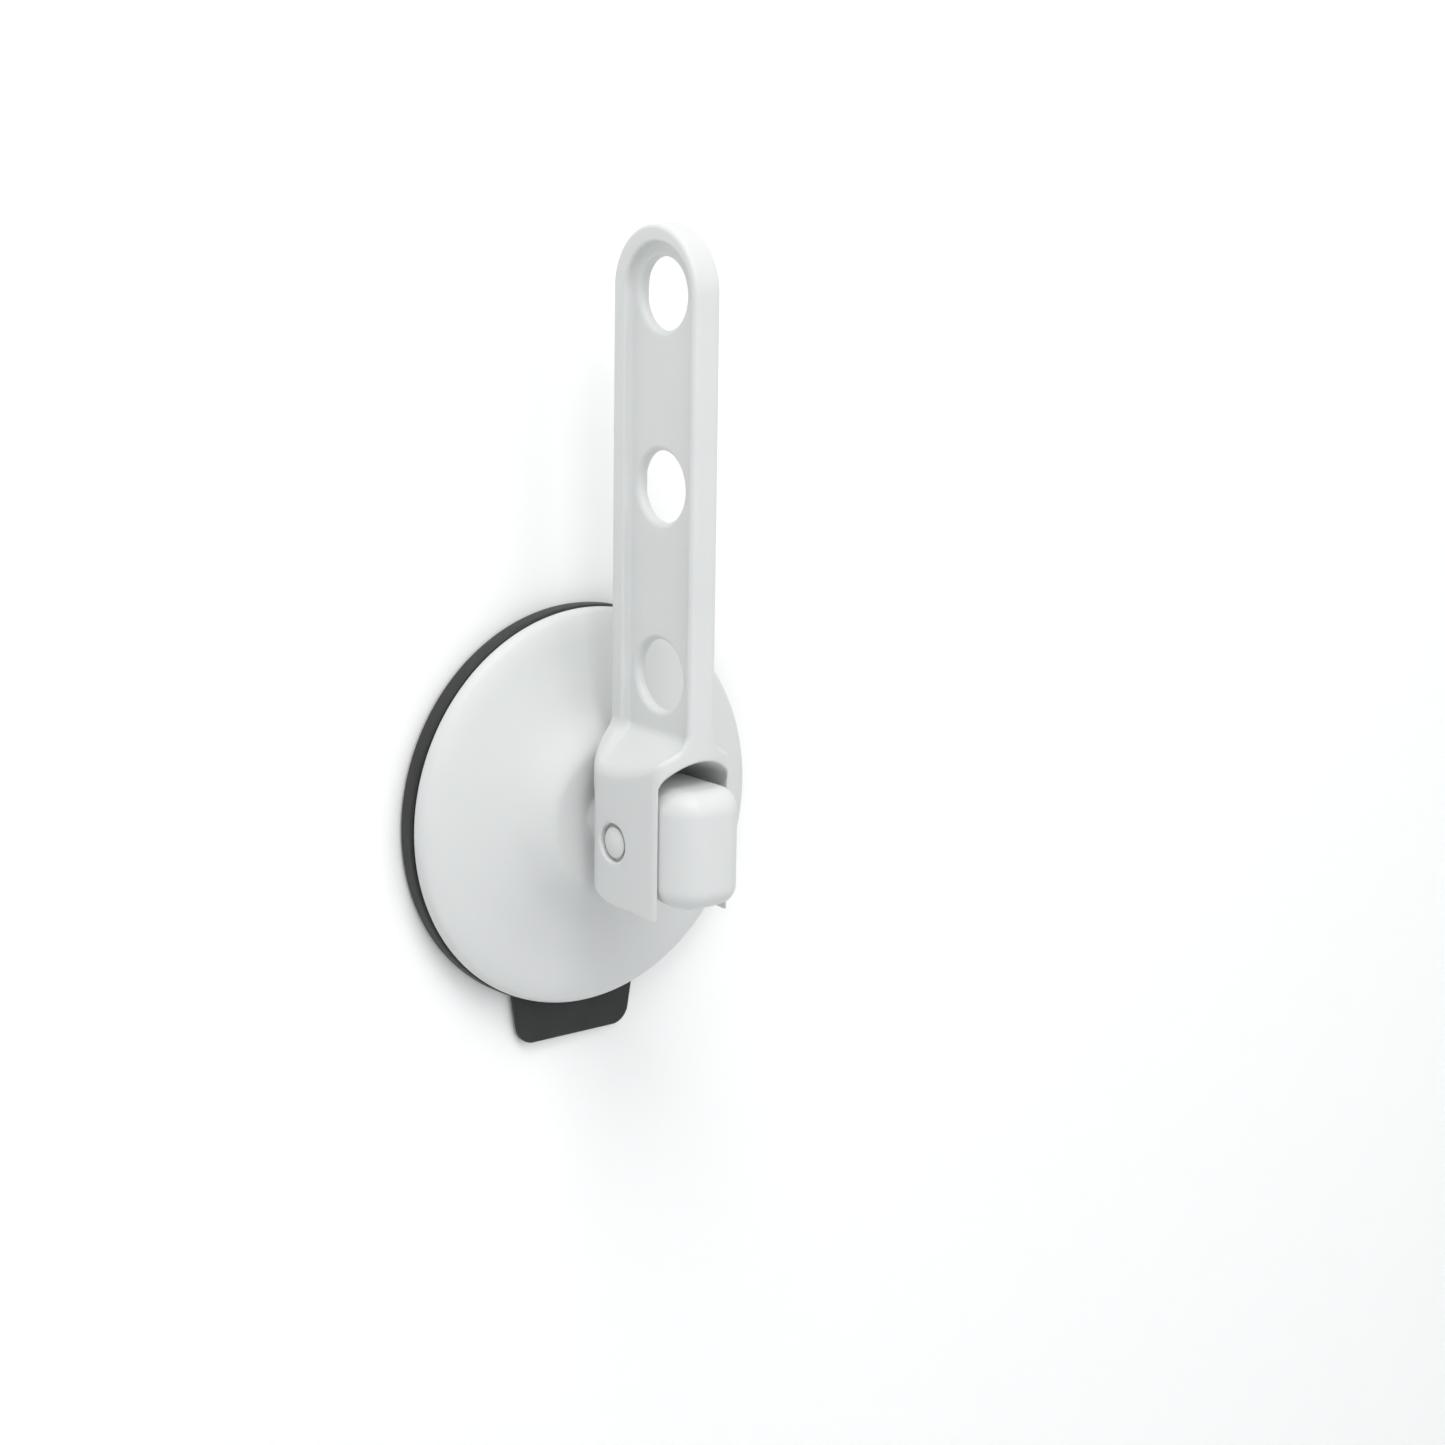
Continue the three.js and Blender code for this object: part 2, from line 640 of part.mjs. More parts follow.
function trigger() {
  const heelR = 8.5;
  const side = new THREE.Shape();
  side.moveTo(TRIGGER_FRONT - 6, TRIGGER_BOTTOM);
  side.lineTo(TRIGGER_FRONT + 1, TRIGGER_BOTTOM);
  side.lineTo(TRIGGER_FRONT + 1, TRIGGER_TOP + 1);
  side.lineTo(TRIGGER_BACK, TRIGGER_TOP + 1);
  side.absarc(TRIGGER_BACK + heelR, TRIGGER_HEEL + heelR, heelR, Math.PI, 1.5 * Math.PI);
  side.lineTo(42, TRIGGER_HEEL);
  const slotHalf = CROSSHEAD_HALF + GAP + 0.1;
  const stemSlot = box(-slotHalf, slotHalf, TRIGGER_BACK - 1, PIN_OUT + 5.6, TRIGGER_BOTTOM - 1, PIN_Z);
  const leftRecess = crossCylinder(EAR_BOSS_R + 0.4, -TRIGGER_HALF - 1, -EAR_BOSS_INNER + GAP);
  const rightRecess = crossCylinder(TORSION_R + 0.8, EAR_BOSS_INNER - GAP, TRIGGER_HALF + 1);
  return cut(
    common(roundedBlock(0), solid(sidePlate(side, TRIGGER_HALF + 1))),
    overRoof(0),
    cut(roundedBlock(TRIGGER_WALL), overRoof(TRIGGER_WALL)),
    solid(stemSlot),
    solid(leftRecess),
    solid(rightRecess),
    solid(crossCylinder(PIN_R + GAP, -TRIGGER_HALF, TRIGGER_HALF)),
  );
}

// One open turn of wire round the right ear's boss.
function triggerSpring() {
  const start = EAR_BOSS_INNER - GAP + 0.1 + TORSION_WIRE;
  const place = (a, b, along) => new THREE.Vector3(along, a - PIN_OUT, b + PIN_Z);
  const helix = new Helix(place, TORSION_R, 1.2, start, 0.8, 0.7);
  return solid(wire(helix, TORSION_WIRE, 24));
}

// ---- assembly ----
const pieces = [
  ['suction_pad', suctionPad(), blackRubber],
  ['cover_shell', coverShell(), whitePlastic],
  ['guide_bush', guideBush(), acetal],
  ['return_spring', returnSpring(), steel],
  ['stem_bolt', stemBolt(), steel],
  ['spring_seat', springSeat(), steel],
  ['crosshead', crosshead(), zinc],
  ['roll_pin', rollPin(), steel],
  ['pivot_pin', pivotPin(), steel],
  ['pin_cap_left', pinCap(-1), greyPlastic],
  ['pin_cap_right', pinCap(1), greyPlastic],
  ['spacer_left', spacer(-1), acetal],
  ['spacer_right', spacer(1), acetal],
  ['arm', arm(), whitePlastic],
  ['trigger', trigger(), whitePlastic],
  ['trigger_spring', triggerSpring(), steel],
];

const hanger = new THREE.Group();
for (const [name, body, look] of pieces) {
  const mesh = new THREE.Mesh(geometryOf(body), new THREE.MeshStandardMaterial(look));
  mesh.name = name;
  hanger.add(mesh);
}

export default hanger;
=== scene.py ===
"""A fold-out hanging arm on a suction disc, seen on a white wall.

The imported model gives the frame, the bodies and the joints. Each piece is rebuilt here as a fine mesh
with the radii that a mould or a lathe leaves. Shapes are worked out in millimetres as (x, out, z), where
out = -y is the distance from the wall, and they become metres in the frame when a mesh is made.
"""

import math

import bpy
import numpy as np
from mathutils import Matrix, Vector


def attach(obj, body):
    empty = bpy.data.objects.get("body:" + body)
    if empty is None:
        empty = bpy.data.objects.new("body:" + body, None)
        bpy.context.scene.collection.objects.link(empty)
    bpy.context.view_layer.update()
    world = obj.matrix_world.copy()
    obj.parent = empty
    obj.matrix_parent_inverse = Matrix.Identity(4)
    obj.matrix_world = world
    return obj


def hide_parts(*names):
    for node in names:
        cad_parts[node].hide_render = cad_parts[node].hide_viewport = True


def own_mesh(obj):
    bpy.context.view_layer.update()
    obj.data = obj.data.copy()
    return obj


MM = 0.001

# ---- camera, in metres ----
CAMERA_PLACE = (-0.4962, -0.6742, 0.2115)
CAMERA_TURN = -0.684
CAMERA_TILT = 0.222
CAMERA_ROLL = 0.015
CAMERA_LENS = 78.34

# ---- stage and light: the wall and floor in millimetres, the lights in metres and watts ----
STAGE_REACH = 3000
FLOOR_DROP = 420
WALL_BEHIND = 0.6
WALL_STEPS = 64
WORLD_COLOUR = (0.985, 0.995, 1, 1)
WORLD_STRENGTH = 0.58
LIGHTS = (
    ("high_left", (-0.38, -0.75, 1.3), 0.8, 11.5),
    ("front", (0.16, -1.28, 0.6), 1.6, 7.4),
    ("back", (-0.5, 1.2, 0.9), 1.2, 8),
)
LIGHT_AIM = (0, -0.03, 0.04)

# ---- disc: cover shell and rubber pad, in millimetres ----
DISC_R = 55
DISC_STEPS = 192
SMALL_STEPS = 96
GAP = 0.3
RIM_OUT = 5.6
RIM_EDGE_R = 2.8
RIM_EDGE_TURN = 0.36 * math.pi
RIM_STEPS = 10
FLANK_STEPS = 10
SHELL_WALL = 2.4
SEAT_R = 18.5
SEAT_OUT = 20.4
COLLAR_R = 9
COLLAR_OUT = 23.5
COLLAR_BORE_R = 6.3
FLANK = [(45, 11), (36, 12.9), (28.5, 15.4), (23.5, 18.4), (SEAT_R, SEAT_OUT)]

PAD_R = 55.4
PAD_RIM_OUT = 4.9
PAD_HOLLOW = 0.35
PAD_WEB = 2.4
PAD_BOSS_R = 18.5
PAD_BOSS_OUT = 7
GROOVES_R = (36, 39, 42, 45, 48)
TAB_TOP = -48
TAB_BOTTOM = -66.2
TAB_ROOT_HALF = 21.2
TAB_END_HALF = 18.2
TAB_OUT = (0.4, 2.2)

# ---- arm and trigger, in millimetres ----
PIN_OUT = 35.4
PIN_Z = -2.3
PIN_R = 3
PIN_BORE_R = PIN_R + GAP

BLADE_HALF = 4.1
BLADE_BACK = 23.3
BLADE_FRONT = 57.6
BLADE_FOOT = 15
BLADE_TOP = 159.3
BLADE_EDGE_R = 1.2
WEB_HALF = 1.7
POCKET_BACK = 28.4
POCKET_FRONT = 55.3
POCKET_TOP = 154.9
POCKET_FILLET_R = 1.3
POCKET_RIM_R = 0.8
HOLE_R = 9.4
HOLE_RIM_R = 1.5
HOLE_OUT = 41
HOLE_Z = (42.6, 92.1, 141.6)

FORK_HALF = 12.3
FORK_SIDE_FRONT = 54
FORK_BOTTOM = -19.4
FORK_BACK_R = 6
FORK_FRONT_R = 1.7
FORK_RIM_R = 1.5
TOE_DROP = 0.8
SADDLE_OUT = 32
SADDLE_Z = 16.7
SADDLE_RISE = 0.0277
SADDLE_POWER = 1.7
LEDGE_TOP = 27
LEDGE_RIM = 0.8
LEDGE_BACK_OUT = (27, 30)
LEDGE_FRONT_OUT = (53.5, 56)
TOE_OUT = (42, 53)
BOW_FADE_Z = (25, 34)
BLADE_FILLET_R = (0.9, 3.2)
BLADE_FILLET_OUT = (52, 56)
ARCH_RIM_R = 0.45
HEEL_R = 16.2
HEEL_OUT = 36.6
EAR_INNER = 11.4
EAR_BOSS_R = 7
EAR_BOSS_INNER = 9.9
CAP_RECESS_R = 5.15
CAP_RECESS_FLOOR = 10.4
ARCH_TOP = 22.3
ARCH_CROWN_R = 17
ARCH_CORNER_R = 3.6
ARCH_FALL = 0.21

TRIGGER_HALF = 11.1
TRIGGER_TOP = 15.2
TRIGGER_HEEL = -15.5
TRIGGER_BOTTOM = -16.3
TRIGGER_BACK = 27.4
TRIGGER_FRONT = 64.2
TRIGGER_WALL = 2.4
TRIGGER_HEEL_R = 8.5
TRIGGER_BOW_R = 40
TRIGGER_CORNER_R = 7
TRIGGER_CROWN_R = 6.2
TRIGGER_FOOT_R = 5.5
TRIGGER_SPRING_BORE_R = 8.7
TRIGGER_FALL_OUT = (42, 58)
STEM_SLOT_REACH = 5.6
STEM_SLOT_HALF = 4.9
ROOF_FALL_FROM = 41
ROOF_FALL = 0.26

# ---- small pieces, in millimetres ----
PIN_HALF = 10.9
PIN_WELL = 3.5
PIN_WELL_R = 1.3
CAP_R = 4.2
CAP_STUB_R = 1
CAP_HIGH = 1.05
CAP_CROWN = 0.75
SPACER_R = 6
SPACER_FAR = 8.4
CROSSHEAD_HALF = 4.5
CROSSHEAD_R = 7
NECK_HALF = 4.5
NECK_OUT = 24
ROLL_PIN_R = 1
ROLL_PIN_OUT = 26.6

STEM_R = 4
STEM_HEAD_R = 11
STEM_HEAD_OUT = (2.9, 4.3)
STEM_SHOULDER_OUT = 23.7
STEM_TAIL_R = 2.8
STEM_TAIL_OUT = 29
WASHER_R = 11.5
WASHER_OUT = (7.3, 8.3)
BUSH_R = 6
BUSH_FLANGE_R = 8
BUSH_FLANGE_OUT = (11.3, 12.5)

COIL_R = 9.6
COIL_WIRE = 0.7
COIL_TURNS = 3.5
COIL_OUT = (8.6, 17.7)
TORSION_R = 7.9
TORSION_WIRE = 0.3
TORSION_TURNS = 1.2
TORSION_X = 10
TORSION_LENGTH = 0.8
TORSION_PHASE = 5.58


# ---- fields: below zero inside the solid, in millimetres from its surface ----
def hypot(a, b):
    return np.sqrt(a * a + b * b)


def both(a, b, radius=0.0):
    """The part two solids share, with the edge between them rounded to a radius."""
    return np.minimum(-radius, np.maximum(a, b)) + hypot(
        np.maximum(a + radius, 0), np.maximum(b + radius, 0)
    )


def either(a, b, radius=0.0):
    """Two solids joined, with a fillet in the corner between them."""
    return -both(-a, -b, radius)


def without(a, b, radius=0.0):
    """The first solid with the second cut out, and the rim of the cut rounded."""
    return both(a, -b, radius)


def mix(a, b, t):
    return a + (b - a) * t


def ramp(start, end, v):
    t = np.clip((v - start) / (end - start), 0, 1)
    return t * t * (3 - 2 * t)


def pin_distance(out, z):
    return hypot(out - PIN_OUT, z - PIN_Z)


def spacing(*stretches):
    """Grid lines over (start, end, step) stretches that follow one another."""
    lines = [
        np.linspace(a, b, max(2, round((b - a) / step) + 1))[:-1] for a, b, step in stretches
    ]
    return np.append(np.concatenate(lines), stretches[-1][1])


def around_edge(cells, axis):
    """The four grid cells round each edge that runs along an axis, in turning order."""
    first, second = [i for i in range(3) if i != axis]
    ring = []
    for da, db in ((0, 0), (1, 0), (1, 1), (0, 1)):
        shifted = list(cells)
        shifted[first] = cells[first] - da
        shifted[second] = cells[second] - db
        ring.append(tuple(shifted))
    return ring


def skin(field, lines):
    """A closed mesh on a field's zero surface: one point in each grid cell that it passes through."""
    grid = np.meshgrid(*lines, indexing="ij", sparse=True)
    value = field(*grid)
    inside = value < 0
    cells = tuple(n - 1 for n in value.shape)
    total = np.zeros((*cells, 3))
    count = np.zeros(cells)
    crossings = []
    for axis in range(3):
        near = tuple(slice(0, -1) if i == axis else slice(None) for i in range(3))
        far = tuple(slice(1, None) if i == axis else slice(None) for i in range(3))
        at = np.nonzero(inside[near] != inside[far])
        start = value[near][at]
        share = start / (start - value[far][at])
        place = np.stack([lines[i][at[i]] for i in range(3)], axis=1)
        step = lines[axis][at[axis] + 1] - lines[axis][at[axis]]
        place[:, axis] += share * step
        ring = around_edge(at, axis)
        for cell in ring:
            np.add.at(total, cell, place)
            np.add.at(count, cell, 1)
        outward = inside[near][at] == (axis == 1)
        crossings.append((ring, outward))
    used = count > 0
    number = np.cumsum(used).reshape(cells) - 1
    points = total[used] / count[used][:, None]
    faces = []
    for ring, outward in crossings:
        quad = np.stack([number[cell] for cell in ring], axis=1)
        faces.append(np.where(outward[:, None], quad, quad[:, ::-1]))
    return settled(field, points), np.concatenate(faces)


def settled(field, points, reach=0.15, nudge=0.01):
    """Points moved along the field's slope until they lie on its surface."""
    for _ in range(4):
        here = field(*points.T)
        slope = np.empty_like(points)
        for axis in range(3):
            beside = points.copy()
            beside[:, axis] += nudge
            slope[:, axis] = (field(*beside.T) - here) / nudge
        steepness = np.maximum((slope**2).sum(axis=1), 0.05)
        move = -slope * (here / steepness)[:, None]
        points = points + np.clip(move, -reach, reach)
    return points


# ---- meshes ----
def mesh_object(name, points, faces):
    """An object from (x, out, z) points in millimetres, shaded smooth."""
    places = np.stack([points[:, 0], -points[:, 1], points[:, 2]], axis=1) * MM
    mesh = bpy.data.meshes.new(name)
    mesh.from_pydata(places.tolist(), [], [list(map(int, f)) for f in faces])
    mesh.validate()
    mesh.update()
    mesh.shade_smooth()
    piece = bpy.data.objects.new(name, mesh)
    bpy.context.scene.collection.objects.link(piece)
    return piece


def about_disc(radius, along, angle):
    return radius * math.cos(angle), along, radius * math.sin(angle)


def about_pin(radius, along, angle):
    return along, PIN_OUT + radius * math.cos(angle), PIN_Z - radius * math.sin(angle)


def about_roll_pin(radius, along, angle):
    return along, ROLL_PIN_OUT + radius * math.cos(angle), -radius * math.sin(angle)


def lathe(name, profile, steps=DISC_STEPS, turned=about_disc):
    """A closed loop of (radius, along) points turned about an axis; radius 0 makes one point."""
    points, rings, faces = [], [], []
    for radius, along in profile:
        around = 1 if radius == 0 else steps
        rings.append([len(points) + i % around for i in range(steps)])
        for i in range(around):
            angle = 2 * math.pi * i / steps
            points.append(turned(radius, along, angle))
    for ring, following in zip(rings, rings[1:] + rings[:1]):
        for i in range(steps):
            j = (i + 1) % steps
            corners = [ring[j], following[j], following[i], ring[i]]
            face = list(dict.fromkeys(corners))
            if len(face) > 2:
                faces.append(face)
    return mesh_object(name, np.array(points), faces)


def arc(centre, radius, start, end, steps):
    """Points round an arc, with the angles in quarter turns."""
    angles = np.linspace(start, end, steps + 1) * math.pi / 2
    return [(centre[0] + radius * math.cos(a), centre[1] + radius * math.sin(a)) for a in angles]


def eased(profile, radius, steps=3):
    """A closed profile with its corners rounded, except where it meets the axis."""
    line = []
    for before, here, after in zip(profile[-1:] + profile[:-1], profile, profile[1:] + profile[:1]):
        if here[0] == 0:
            line.append(here)
            continue
        p, q, r = np.array(before, float), np.array(here, float), np.array(after, float)
        back, on = np.linalg.norm(p - q), np.linalg.norm(r - q)
        start = q + (p - q) * min(radius, 0.45 * back) / back
        end = q + (r - q) * min(radius, 0.45 * on) / on
        for t in np.linspace(0, 1, steps):
            line.append(tuple((1 - t) ** 2 * start + 2 * t * (1 - t) * q + t * t * end))
    return line


def coil(name, turned, radius, wire, turns, start, length, phase=0.0, per_turn=64, around=12):
    """Round wire wound into a helix, closed at both ends."""
    steps = round(turns * per_turn)
    points, faces = [], []
    for i in range(steps + 1):
        angle = phase + 2 * math.pi * turns * i / steps
        along = start + length * i / steps
        for j in range(around):
            a = 2 * math.pi * j / around
            points.append(turned(radius + wire * math.cos(a), along + wire * math.sin(a), angle))
    for i in range(steps):
        for j in range(around):
            k = (j + 1) % around
            here, ahead = i * around, (i + 1) * around
            faces.append([here + j, ahead + j, ahead + k, here + k])
    faces.append(list(reversed(range(around))))
    faces.append([steps * around + j for j in range(around)])
    return mesh_object(name, np.array(points), faces)


def smooth_line(points, start_slope, end_slope, steps):
    """A curve through points, leaving the first and reaching the last in the given directions."""
    p = np.array(points, float)
    lengths = np.hypot(*np.diff(p, axis=0).T)
    s = np.concatenate([[0], np.cumsum(lengths)])
    n = len(p)
    matrix, right = np.zeros((n, n)), np.zeros((n, 2))
    matrix[0, 0] = matrix[-1, -1] = 1
    right[0], right[-1] = start_slope, end_slope
    for i in range(1, n - 1):
        before, after = lengths[i - 1], lengths[i]
        matrix[i, i - 1], matrix[i, i], matrix[i, i + 1] = after, 2 * (before + after), before
        right[i] = 3 * (
            after / before * (p[i] - p[i - 1]) + before / after * (p[i + 1] - p[i])
        )
    slopes = np.linalg.solve(matrix, right)
    line = []
    for i in range(n - 1):
        for t in np.linspace(0, 1, steps, endpoint=False):
            h = lengths[i]
            line.append(
                (2 * t**3 - 3 * t**2 + 1) * p[i]
                + (t**3 - 2 * t**2 + t) * h * slopes[i]
                + (3 * t**2 - 2 * t**3) * p[i + 1]
                + (t**3 - t**2) * h * slopes[i + 1]
            )
    line.append(p[-1])
    return [tuple(q) for q in line]


# ---- the pieces ----
def bell():
    """The shell's outer face from its rim to the flat seat round the collar."""
    centre = (DISC_R - RIM_EDGE_R, RIM_OUT + 0.8)
    edge = arc(centre, RIM_EDGE_R, 0, RIM_EDGE_TURN / (math.pi / 2), RIM_STEPS)
    leaving = (-math.sin(RIM_EDGE_TURN), math.cos(RIM_EDGE_TURN))
    flank = smooth_line([edge[-1], *FLANK], leaving, (-1, 0), FLANK_STEPS)
    return [(DISC_R - 0.3, RIM_OUT), (DISC_R, RIM_OUT + 0.3), *edge, *flank[1:]]


def under_bell(outer, roof):
    """The shell's inner face: its outer face moved in by the wall, between the rim and the roof."""
    inner = []
    for i in range(RIM_STEPS + 3, len(outer) - FLANK_STEPS + 3):
        run = (outer[i + 1][0] - outer[i - 1][0], outer[i + 1][1] - outer[i - 1][1])
        inward = SHELL_WALL / math.hypot(*run)
        radius, out = outer[i][0] - inward * run[1], outer[i][1] + inward * run[0]
        if RIM_OUT + 1 < out < roof - 0.2 and radius < DISC_R - SHELL_WALL:
            inner.append((radius, out))
    return inner


def cover_shell():
    outer = bell()
    roof = SEAT_OUT - SHELL_WALL
    foot_r, lip_r = 0.8, 0.6
    profile = [
        *outer,
        *arc((COLLAR_R + foot_r, SEAT_OUT + foot_r), foot_r, 3, 2, 5),
        *arc((COLLAR_R - lip_r, COLLAR_OUT - lip_r), lip_r, 0, 1, 5),
        (COLLAR_BORE_R, COLLAR_OUT),
        (COLLAR_BORE_R, roof),
        (SEAT_R - 1, roof),
        *reversed(under_bell(outer, roof)),
        (DISC_R - SHELL_WALL, RIM_OUT),
    ]
    return lathe("shell_moulding", profile)


def round_ended(back, front, top, out, z):
    """The outline of a bar between two out values, with a half round at its top."""
    radius = (front - back) / 2
    return hypot(out - (back + front) / 2, np.maximum(z - (top - radius), 0)) - radius


def blade(x, out, z):
    outer = round_ended(BLADE_BACK, BLADE_FRONT, BLADE_TOP, out, z)
    slab = both(outer, np.abs(x) - BLADE_HALF, BLADE_EDGE_R)
    floor = WEB_HALF - np.abs(x)
    pocket = both(round_ended(POCKET_BACK, POCKET_FRONT, POCKET_TOP, out, z), floor, POCKET_FILLET_R)
    return without(both(slab, BLADE_FOOT - z), pocket, POCKET_RIM_R)


def ledge(x, out):
    """Height and slope of the fork's top, which climbs from a saddle at its outer edge to the blade."""
    edge = SADDLE_Z + SADDLE_RISE * np.abs(out - SADDLE_OUT) ** SADDLE_POWER
    back_rim, front_rim = 1 - ramp(*LEDGE_BACK_OUT, out), ramp(*LEDGE_FRONT_OUT, out)
    inner_x = mix(WEB_HALF, BLADE_HALF, back_rim + front_rim)
    inner_z = LEDGE_TOP + LEDGE_RIM * back_rim - LEDGE_RIM * front_rim
    slope = (inner_z - edge) / (FORK_HALF - inner_x)
    return edge + slope * (FORK_HALF - np.maximum(np.abs(x), inner_x)), slope


def bow_radius():
    """Radius of the fork's bowed front, seen from above."""
    rise = BLADE_FRONT - FORK_SIDE_FRONT
    return (FORK_HALF**2 + rise**2) / (2 * rise)


def fork(x, out, z):
    """The block at the blade's foot, before the arch cuts it into two ears."""
    bow_r = bow_radius()
    bow = hypot(x, np.maximum(out - (BLADE_FRONT - bow_r), 0)) - bow_r
    sides = both(np.abs(x) - FORK_HALF, BLADE_BACK - out, FORK_BACK_R)
    plan = both(sides, bow, FORK_FRONT_R)
    foot = FORK_BOTTOM - TOE_DROP * ramp(*TOE_OUT, out)
    heel = both(HEEL_OUT - HEEL_R - out, foot - z, HEEL_R)
    height, slope = ledge(x, out)
    top = (z - height) / np.sqrt(1 + slope**2)
    return both(both(plan, heel, 0.4), top, FORK_RIM_R)


def arch(x, out, z):
    """The space between the ears, with a ceiling that falls towards the back."""
    forward, up = BLADE_FRONT - out, z - ARCH_TOP
    tilted = forward * math.sin(ARCH_FALL) + up * math.cos(ARCH_FALL)
    corner_x = EAR_INNER - ARCH_CORNER_R
    inner_r = ARCH_CROWN_R - ARCH_CORNER_R
    corner_z = math.sqrt(inner_r**2 - corner_x**2) - ARCH_CROWN_R
    side = np.abs(x)
    above = tilted + ARCH_CROWN_R
    crown = hypot(x, above) - ARCH_CROWN_R
    corner = hypot(side - corner_x, tilted - corner_z) - ARCH_CORNER_R
    under_crown = side * (corner_z + ARCH_CROWN_R) < above * corner_x
    return np.where(under_crown, crown, np.where(tilted > corner_z, corner, side - EAR_INNER))


def front_limit(x, z):
    """How far out the arm reaches: bowed across the fork, and flat from the foot of the blade up."""
    bow_r = bow_radius()
    bow_drop = bow_r - np.sqrt(bow_r**2 - np.minimum(np.abs(x), FORK_HALF) ** 2)
    return BLADE_FRONT - bow_drop * (1 - ramp(*BOW_FADE_Z, z))


def arm_field(x, out, z):
    """Blade and fork in one moulding, with a fillet between them that grows towards the front."""
    fillet = mix(*BLADE_FILLET_R, ramp(*BLADE_FILLET_OUT, out))
    body = either(blade(x, out, z), fork(x, out, z), fillet)
    body = both(both(body, BLADE_BACK - out), out - front_limit(x, z))
    body = without(body, arch(x, out, z), ARCH_RIM_R)
    away = pin_distance(out, z)
    boss = both(away - EAR_BOSS_R, EAR_BOSS_INNER - np.abs(x), 0.3)
    boss = both(boss, np.abs(x) - EAR_INNER - 0.5)
    body = either(body, boss)
    recess = both(away - CAP_RECESS_R, CAP_RECESS_FLOOR - np.abs(x), 0.2)
    body = without(body, recess, 0.75)
    body = without(body, away - PIN_BORE_R)
    for hole_z in HOLE_Z:
        hole = hypot(out - HOLE_OUT, z - hole_z) - HOLE_R
        body = without(body, hole, HOLE_RIM_R)
    return body


def arm():
    fine, coarse = 0.4, 1.5
    lines = (
        spacing((-13, -5, fine), (-5, 5, 0.3), (5, 13, fine)),
        spacing((22.5, 58.5, fine)),
        spacing(
            (-20.5, 56, fine),
            (56, 78.5, coarse),
            (78.5, 105.5, fine),
            (105.5, 128, coarse),
            (128, 160.5, fine),
        ),
    )
    return mesh_object("arm_moulding", *skin(arm_field, lines))


def trigger_block(x, out, z, inset):
    """The block's rounded outside, or with an inset its hollow, which is open at the back."""
    bow_r = TRIGGER_BOW_R
    bow = hypot(x, np.maximum(out - (TRIGGER_FRONT - inset - bow_r), 0)) - bow_r
    plan = both(np.abs(x) - (TRIGGER_HALF - inset), bow, TRIGGER_CORNER_R - inset)
    roof = TRIGGER_TOP - ROOF_FALL * np.maximum(ROOF_FALL_FROM - out, 0)
    crown = both(plan, z - (roof - inset), TRIGGER_CROWN_R - inset)
    drop = mix(TRIGGER_HEEL, TRIGGER_BOTTOM, ramp(*TRIGGER_FALL_OUT, out))
    body = both(crown, drop + inset - z, TRIGGER_FOOT_R - inset)
    return both(body, TRIGGER_BACK - inset - out)


def trigger_field(x, out, z):
    """The hollow block with a slot for the stem and room for the ears and the torsion spring."""
    solid = trigger_block(x, out, z, 0)
    heel_r = TRIGGER_HEEL_R + TRIGGER_HEEL - TRIGGER_BOTTOM
    heel = both(TRIGGER_BACK - out, TRIGGER_BOTTOM - z, heel_r)
    body = both(solid, heel, 0.4)
    body = without(body, trigger_block(x, out, z, TRIGGER_WALL), 0.3)
    away = pin_distance(out, z)
    slot = both(both(np.abs(x) - STEM_SLOT_HALF, out - PIN_OUT - STEM_SLOT_REACH), z - PIN_Z)
    body = without(body, slot, 0.3)
    boss_room = EAR_BOSS_INNER - GAP
    left = both(away - EAR_BOSS_R - 0.4, x + boss_room)
    right = both(away - TRIGGER_SPRING_BORE_R, boss_room - x)
    body = without(without(body, left, 0.15), right, 0.15)
    return without(body, away - PIN_BORE_R, 0.15)


def trigger():
    lines = (
        spacing((-12, 12, 0.35)),
        spacing((26.4, 65.2, 0.4)),
        spacing((-17.4, 16.4, 0.4)),
    )
    return mesh_object("trigger_moulding", *skin(trigger_field, lines))


def pad_skirt():
    """The pad outside its boss, with a rolled rim and shallow sealing grooves on its wall side."""
    rim_r, foot_r = 0.9, 0.6
    inner_r = PAD_BOSS_R + 0.05
    face = [(inner_r, PAD_HOLLOW), (30, PAD_HOLLOW), (31, 0.0), (34, 0.0)]
    for radius in GROOVES_R:
        face += [(radius - 0.5, 0), (radius - 0.2, 0.25), (radius + 0.2, 0.25), (radius + 0.5, 0)]
    profile = [
        *face,
        (PAD_R - 2 * foot_r, 0),
        *arc((PAD_R - foot_r, foot_r), foot_r, 3, 4, 4),
        *arc((PAD_R - rim_r, PAD_RIM_OUT - rim_r), rim_r, 0, 1, 5),
        (DISC_R - 4.5, PAD_RIM_OUT),
        (DISC_R - 6, PAD_WEB),
        (inner_r, PAD_WEB),
    ]
    return lathe("rubber_pad", profile)


def pad_boss():
    """The middle of the pad, moulded round the head of the stem, which lifts it to draw the suction."""
    pocket = (STEM_HEAD_OUT[0] - GAP, STEM_HEAD_OUT[1] + GAP)
    profile = [
        (0, PAD_HOLLOW),
        (PAD_BOSS_R, PAD_HOLLOW),
        (PAD_BOSS_R, PAD_WEB),
        (PAD_BOSS_R - 2, PAD_BOSS_OUT - 1.5),
        (PAD_BOSS_R - 3.5, PAD_BOSS_OUT),
        (STEM_R + GAP, PAD_BOSS_OUT),
        (STEM_R + GAP, pocket[1]),
        (STEM_HEAD_R + GAP, pocket[1]),
        (STEM_HEAD_R + GAP, pocket[0]),
        (0, pocket[0]),
    ]
    return lathe("rubber_boss", profile, SMALL_STEPS)


